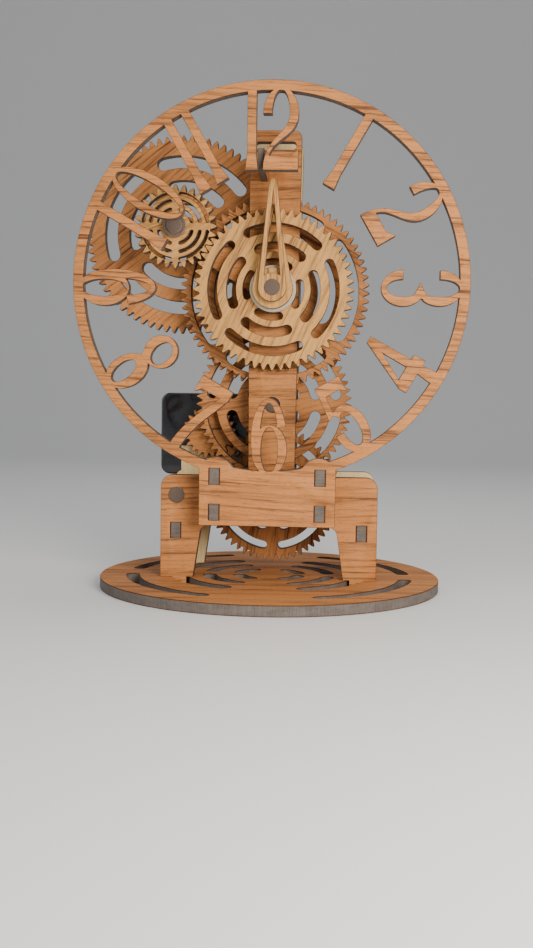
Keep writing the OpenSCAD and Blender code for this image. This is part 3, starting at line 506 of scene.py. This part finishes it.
def lay_grain(work, flat, grain, turn, seed):
    """Stores the grain's own coordinates, the depth through the sheet and which faces are cut walls."""
    across = [a for a in (0, 1, 2) if a != flat and a != grain][0]
    low = min(v.co[flat] for v in work.verts)
    high = max(v.co[flat] for v in work.verts)
    flow = work.verts.layers.float_vector.new("grain")
    depth = work.verts.layers.float.new("depth")
    cut = work.faces.layers.float.new("cut")
    c, s = math.cos(math.radians(turn)), math.sin(math.radians(turn))
    for v in work.verts:
        a, b = v.co[grain], v.co[across]
        v[flow] = Vector((a * c + b * s + 0.37 * (seed % 7), b * c - a * s + 0.173 * (seed % 11),
                          v.co[flat] - low + 0.031 * (seed % 5)))
        v[depth] = (v.co[flat] - low) / max(high - low, 1e-6)
    work.normal_update()
    for face in work.faces:
        face[cut] = 0.0 if abs(face.normal[flat]) > 0.97 else 1.0


def cut_sheet(node, flat="Y", grain="X", turn=0.0, smooth=34.0):
    """One laser-cut sheet, flat square to an axis, with its grain along another."""
    work = joined_copy(node)
    flat_axis, grain_axis = "XYZ".index(flat), "XYZ".index(grain)
    break_edges(work, flat_axis, wood().edge_round)
    lay_grain(work, flat_axis, grain_axis, turn, sum(ord(letter) for letter in node))
    return finish_piece(work, "sheet_" + node, BODY_OF[node], SLOT_OF[node], node, smooth)


def turned_rod(node, centre, chamfer=0.0003):
    """One or more round rods or rings along Y, with broken corners and end grain."""
    work = joined_copy(node)
    break_edges(work, 1, chamfer, 2)
    flow = work.verts.layers.float_vector.new("grain")
    cut = work.faces.layers.float.new("cut")
    for v in work.verts:
        v[flow] = Vector((v.co.y, v.co.x - centre.x, v.co.z - centre.z))
    work.normal_update()
    for face in work.faces:
        face[cut] = 1.0 if abs(face.normal.y) > 0.8 else 0.0
    return finish_piece(work, "turned_" + node, BODY_OF[node], SLOT_OF[node], node, 40.0)


# ---------------------------------------------------------------- the pieces

class MakeBase(bpy.types.Operator):
    """Make the slotted round base"""
    bl_idname = "gear_clock.make_base"
    bl_label = "Base"

    def execute(self, context):
        cut_sheet("base_disc", "Z", "X", 3.0)
        return {"FINISHED"}


class MakeStand(bpy.types.Operator):
    """Make the two stand plates and the rails between them"""
    bl_idname = "gear_clock.make_stand"
    bl_label = "Stand"

    def execute(self, context):
        cut_sheet("stand_front", "Y", "X", 2.0)
        cut_sheet("rear_frame", "Y", "Z", -2.0)
        for side in ("left", "right"):
            cut_sheet("leg_rail_" + side, "X", "Y", 1.0)
        turned_rod("leg_peg", Vector((-0.0559, 0.0, 0.0563)))
        return {"FINISHED"}


class MakeColumn(bpy.types.Operator):
    """Make the front column and the tie to the rear plate"""
    bl_idname = "gear_clock.make_column"
    bl_label = "Column"

    def execute(self, context):
        cut_sheet("column_front", "Y", "X", 1.5)
        cut_sheet("top_spacer", "Z", "Y", 1.0)
        return {"FINISHED"}


class MakeDial(bpy.types.Operator):
    """Make the dial with its numerals, its rails and its stay"""
    bl_idname = "gear_clock.make_dial"
    bl_label = "Dial"

    def execute(self, context):
        cut_sheet("dial_plate", "Y", "X", -3.0)
        for side in ("left", "right"):
            cut_sheet("dial_rail_" + side, "X", "Y", -1.0)
        cut_sheet("dial_stay", "X", "Y", 1.0)
        return {"FINISHED"}


class MakeWheels(bpy.types.Operator):
    """Make the toothed wheels and pinions"""
    bl_idname = "gear_clock.make_wheels"
    bl_label = "Wheels"

    def execute(self, context):
        for node, turn in WHEEL_GRAIN.items():
            cut_sheet(node, "Y", "X", turn, 24.0)
        return {"FINISHED"}


class MakeHands(bpy.types.Operator):
    """Make the two hands"""
    bl_idname = "gear_clock.make_hands"
    bl_label = "Hands"

    def execute(self, context):
        cut_sheet("minute_hand", "Y", "Z", 2.0)
        cut_sheet("hour_hand", "Y", "Z", -3.0)
        return {"FINISHED"}


class MakeDowels(bpy.types.Operator):
    """Make the arbors, spacers and collars"""
    bl_idname = "gear_clock.make_dowels"
    bl_label = "Dowels"

    def execute(self, context):
        for group in ("minute", "motion", "lower", "bottom"):
            centre = axis_of(group + "_spin")
            for node in NODES:
                if node.startswith(group) and SLOT_OF[node] == "dowel_wood":
                    turned_rod(node, centre)
        for node in ("hour_sleeve", "hour_spacer"):
            turned_rod(node, axis_of("hour_spin"))
        return {"FINISHED"}


class MakeMotor(bpy.types.Operator):
    """Make the motor box, its cover and what is inside"""
    bl_idname = "gear_clock.make_motor"
    bl_label = "Motor box"

    def execute(self, context):
        width = motor().edge_round
        for node in ("motor_housing", "motor_cover"):
            work = joined_copy(node)
            work.normal_update()
            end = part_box("motor_cover")[1].y if node == "motor_cover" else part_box("motor_housing")[0].y
            outer = [e for e in work.edges if len(e.link_faces) == 2
                     and e.calc_face_angle(0.0) > math.radians(40)
                     and all(abs(v.co.y - end) < 1e-5 for v in e.verts) and self.on_outline(e, node)]
            bmesh.ops.bevel(work, geom=outer, offset=width, segments=3, profile=0.5, affect="EDGES",
                            clamp_overlap=False)
            finish_piece(work, "moulded_" + node, BODY_OF[node], SLOT_OF[node], node, 30.0)
        for node in ("motor_can", "motor_shaft"):
            work = joined_copy(node)
            break_edges(work, 1, 0.0004, 2)
            finish_piece(work, "turned_" + node, BODY_OF[node], SLOT_OF[node], node, 40.0)
        work = joined_copy("battery_cell")
        break_edges(work, 0, 0.0006, 2)
        finish_piece(work, "cell_battery_cell", BODY_OF["battery_cell"], SLOT_OF["battery_cell"],
                     "battery_cell", 40.0)
        return {"FINISHED"}

    @staticmethod
    def on_outline(edge, node):
        """True for an edge on the box's outer outline, not on a hole through its wall."""
        low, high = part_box(node)
        middle = (edge.verts[0].co + edge.verts[1].co) / 2
        reach = min(middle.x - low.x, high.x - middle.x, middle.z - low.z, high.z - middle.z)
        return reach < OUTLINE_REACH


class MakeScrews(bpy.types.Operator):
    """Make the screws that hold the motor box, with crossed driver slots"""
    bl_idname = "gear_clock.make_screws"
    bl_label = "Screws"

    def execute(self, context):
        tree = bpy.data.node_groups.new("Cross-head screws", "GeometryNodeTree")
        for label, kind, default in (("Geometry", "Geometry", None), ("Head diameter", "Float", 0.0058),
                                     ("Head height", "Float", 0.0019), ("Shank diameter", "Float", 0.003),
                                     ("Shank length", "Float", 0.009), ("Slot width", "Float", 0.0008),
                                     ("Spacing", "Float", 0.038), ("Count", "Int", 2),
                                     ("Finish", "Material", None)):
            socket = tree.interface.new_socket(label, in_out="INPUT", socket_type="NodeSocket" + kind)
            if default is not None:
                socket.default_value = default
        tree.interface.new_socket("Geometry", in_out="OUTPUT", socket_type="NodeSocketGeometry")
        given = tree.nodes.new("NodeGroupInput").outputs
        out = tree.nodes.new("NodeGroupOutput").inputs
        half = add(tree, "ShaderNodeMath", {0: given["Head diameter"], 1: 0.5}, operation="MULTIPLY").outputs[0]
        crown = add(tree, "ShaderNodeMath", {0: half, 1: 0.62}, operation="MULTIPLY").outputs[0]
        cone = {"Vertices": 40, "Side Segments": 1, "Radius Top": crown, "Radius Bottom": half,
                "Depth": given["Head height"]}
        head = add(tree, "GeometryNodeMeshCone", cone).outputs["Mesh"]
        long = add(tree, "ShaderNodeMath", {0: half, 1: 1.1}, operation="MULTIPLY").outputs[0]
        deep = given["Head height"]
        bars = []
        for swap in (False, True):
            thin = given["Slot width"]
            size = add(tree, "ShaderNodeCombineXYZ", {0: thin if swap else long, 1: long if swap else thin,
                                                      2: deep}).outputs[0]
            bar = add(tree, "GeometryNodeMeshCube", {"Size": size}).outputs["Mesh"]
            lift = add(tree, "ShaderNodeCombineXYZ", {2: deep}).outputs[0]
            bars.append(add(tree, "GeometryNodeTransform", {"Geometry": bar, "Translation": lift}).outputs[0])
        cutter = tree.nodes.new("GeometryNodeMeshBoolean")
        cutter.operation = "DIFFERENCE"
        tree.links.new(head, cutter.inputs[0])
        for bar in bars:
            tree.links.new(bar, cutter.inputs[1])
        shank_half = add(tree, "ShaderNodeMath", {0: given["Shank diameter"], 1: 0.5},
                         operation="MULTIPLY").outputs[0]
        shank = add(tree, "GeometryNodeMeshCylinder", {"Vertices": 24, "Radius": shank_half,
                                                       "Depth": given["Shank length"]}).outputs["Mesh"]
        drop = add(tree, "ShaderNodeMath", {0: given["Shank length"], 1: -0.5}, operation="MULTIPLY").outputs[0]
        down = add(tree, "ShaderNodeCombineXYZ", {2: drop}).outputs[0]
        shank = add(tree, "GeometryNodeTransform", {"Geometry": shank, "Translation": down}).outputs[0]
        both = tree.nodes.new("GeometryNodeJoinGeometry")
        tree.links.new(cutter.outputs[0], both.inputs[0])
        tree.links.new(shank, both.inputs[0])
        screw = add(tree, "GeometryNodeTransform", {"Geometry": both.outputs[0],
                                                    "Rotation": (math.radians(90), 0.0, 0.0)}).outputs[0]
        step = add(tree, "ShaderNodeCombineXYZ", {0: given["Spacing"]}).outputs[0]
        row = add(tree, "GeometryNodeMeshLine", {"Count": given["Count"], "Offset": step}).outputs[0]
        rows = add(tree, "GeometryNodeInstanceOnPoints", {"Points": row, "Instance": screw}).outputs[0]
        solid = add(tree, "GeometryNodeRealizeInstances", {0: rows}).outputs[0]
        done = add(tree, "GeometryNodeSetMaterial", {"Geometry": solid, "Material": given["Finish"]}).outputs[0]
        tree.links.new(done, out["Geometry"])

        low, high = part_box("motor_screws")
        head_d = min(motor().head, high.z - low.z - 0.0001)
        values = {"Head diameter": head_d, "Head height": 0.0019, "Shank diameter": 0.003,
                  "Shank length": high.y - low.y - 0.0021, "Slot width": motor().driver_slot,
                  "Spacing": high.x - low.x - (high.z - low.z), "Count": 2, "Finish": material_for("steel")}
        blank = bpy.data.objects.new("screw_row", bpy.data.meshes.new("screw_row"))
        bpy.context.scene.collection.objects.link(blank)
        modifier = blank.modifiers.new("Screws", "NODES")
        modifier.node_group = tree
        for item in tree.interface.items_tree:
            if item.in_out == "INPUT" and item.name in values:
                modifier[item.identifier] = values[item.name]
        shaped = blank.evaluated_get(bpy.context.evaluated_depsgraph_get())
        mesh = bpy.data.meshes.new_from_object(shaped)
        if not mesh.polygons:
            raise RuntimeError("the screws came out empty")
        blank.modifiers.remove(modifier)
        start = Vector((low.x + (high.z - low.z) / 2, low.y + 0.00105, (low.z + high.z) / 2))
        mesh.transform(Matrix.Translation(start))
        blank.data = mesh
        mesh.name = "screw_row"
        mesh.polygons.foreach_set("use_smooth", [True] * len(mesh.polygons))
        mesh.set_sharp_from_angle(angle=math.radians(30))
        blank.name = "screws_motor_box"
        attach(blank, BODY_OF["motor_screws"])
        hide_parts("motor_screws")
        return {"FINISHED"}


class MakeStage(bpy.types.Operator):
    """Make the floor, the lamps and the camera"""
    bl_idname = "gear_clock.make_stage"
    bl_label = "Stage"

    def execute(self, context):
        settings = context.scene.gear_clock_stage
        work = bmesh.new()
        profile = [(-4.0, 0.0), (1.4, 0.0)]
        profile += [(1.4 + 1.2 * math.sin(math.radians(a)), 1.2 - 1.2 * math.cos(math.radians(a)))
                    for a in range(6, 91, 6)]
        profile += [(2.6, 4.0)]
        rows = [[work.verts.new((x, y, z)) for x in (-6.0, 6.0)] for y, z in profile]
        for one, two in zip(rows, rows[1:]):
            work.faces.new((one[0], one[1], two[1], two[0]))
        mesh = bpy.data.meshes.new("floor")
        work.to_mesh(mesh)
        work.free()
        mesh.polygons.foreach_set("use_smooth", [True] * len(mesh.polygons))
        floor = bpy.data.objects.new("floor", mesh)
        context.scene.collection.objects.link(floor)
        material, tree, shader = new_material("Floor", settings.floor)
        place = add(tree, "ShaderNodeTexCoord").outputs["Object"]
        cloud = noise(tree, stretched(tree, place, (1.5, 1.5, 1.5)), 1.0, 2.0)
        colour = blend(tree, cloud, rgba(settings.floor), tuple(c * 0.965 for c in settings.floor) + (1.0,))
        join(tree, shader, colour, calc(tree, "MULTIPLY_ADD", cloud, 0.1, 0.55))
        mesh.materials.append(material)

        world = bpy.data.worlds.new("Studio") if context.scene.world is None else context.scene.world
        context.scene.world = world
        world.use_nodes = True
        back = world.node_tree.nodes["Background"]
        back.inputs[0].default_value = SKY_COLOUR
        back.inputs[1].default_value = SKY_STRENGTH
        self.lamp(context, "key", KEY_LAMP, settings.key)
        self.lamp(context, "fill", FILL_LAMP, settings.fill)
        self.lamp(context, "top", TOP_LAMP, settings.fill * 1.1)

        camera = bpy.data.cameras.new("camera")
        camera.sensor_fit = "VERTICAL"
        camera.sensor_height = 36.0
        camera.lens = settings.lens
        camera.clip_start = 0.01
        view = bpy.data.objects.new("camera", camera)
        context.scene.collection.objects.link(view)
        yaw, pitch, roll = (math.radians(angle) for angle in CAMERA_TURN)
        ahead = Vector((math.sin(yaw) * math.cos(pitch), math.cos(yaw) * math.cos(pitch), -math.sin(pitch)))
        right = Vector((math.cos(yaw), -math.sin(yaw), 0.0))
        up = right.cross(ahead)
        side = right * math.cos(roll) + up * math.sin(roll)
        top = up * math.cos(roll) - right * math.sin(roll)
        turn = Matrix((side, top, -ahead)).transposed()
        view.matrix_world = Matrix.Translation(CAMERA_PLACE) @ turn.to_4x4()
        context.scene.camera = view
        return {"FINISHED"}

    @staticmethod
    def lamp(context, name, setting, power):
        place, aim, size, colour = setting
        light = bpy.data.lights.new(name, "AREA")
        light.shape = "DISK"
        light.size = size
        light.energy = power
        light.color = colour
        lamp = bpy.data.objects.new("lamp_" + name, light)
        context.scene.collection.objects.link(lamp)
        lamp.location = place
        lamp.rotation_euler = (Vector(aim) - Vector(place)).to_track_quat("-Z", "Y").to_euler()


STEPS = (MakeBase, MakeStand, MakeColumn, MakeDial, MakeWheels, MakeHands, MakeDowels, MakeMotor,
         MakeScrews, MakeStage)


class GearClockPanel(bpy.types.Panel):
    """Lists the pieces of the clock"""
    bl_idname = "VIEW3D_PT_gear_clock"
    bl_label = "Gear Clock"
    bl_space_type = "VIEW_3D"
    bl_region_type = "UI"
    bl_category = "Gear Clock"

    def draw(self, context):
        for step in STEPS:
            self.layout.operator(step.bl_idname, text=step.bl_label)
        scene = context.scene
        for group in (scene.gear_clock_wood, scene.gear_clock_motor, scene.gear_clock_stage):
            box = self.layout.box()
            for name in group.__annotations__:
                box.prop(group, name)


CLASSES = (GearClockWood, GearClockMotor, GearClockStage) + STEPS + (GearClockPanel,)


def register():
    for cls in CLASSES:
        bpy.utils.register_class(cls)
    bpy.types.Scene.gear_clock_wood = PointerProperty(type=GearClockWood)
    bpy.types.Scene.gear_clock_motor = PointerProperty(type=GearClockMotor)
    bpy.types.Scene.gear_clock_stage = PointerProperty(type=GearClockStage)


def unregister():
    del bpy.types.Scene.gear_clock_stage
    del bpy.types.Scene.gear_clock_motor
    del bpy.types.Scene.gear_clock_wood
    for cls in reversed(CLASSES):
        bpy.utils.unregister_class(cls)


def main():
    register()
    for step in STEPS:
        group, name = step.bl_idname.split(".")
        getattr(getattr(bpy.ops, group), name)()


if __name__ == "__main__":
    main()
